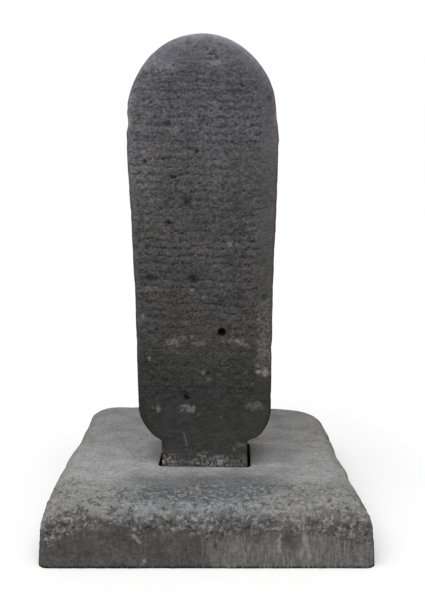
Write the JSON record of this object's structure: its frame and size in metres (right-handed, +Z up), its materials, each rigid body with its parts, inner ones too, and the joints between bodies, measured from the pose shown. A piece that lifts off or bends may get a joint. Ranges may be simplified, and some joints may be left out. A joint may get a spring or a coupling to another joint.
{
  "type": "inscribed stone stele",
  "caption": "Round-headed stone slab with rows of shallow carved strokes, standing by its tenon in the mortise of a low, worn stone plinth.",
  "frame": {"origin": "centre of the plinth's underside", "axes": "+Z up, and the inscribed face looks along -Y"},
  "size_m": [1.1256, 1.1477, 1.752],
  "materials": {
    "dark_stone": "matte, finely pitted",
    "grey_stone": "matte, weathered"
  },
  "bodies": {
    "root": {"stele": "dark_stone", "plinth": "grey_stone"}
  },
  "joints": []
}
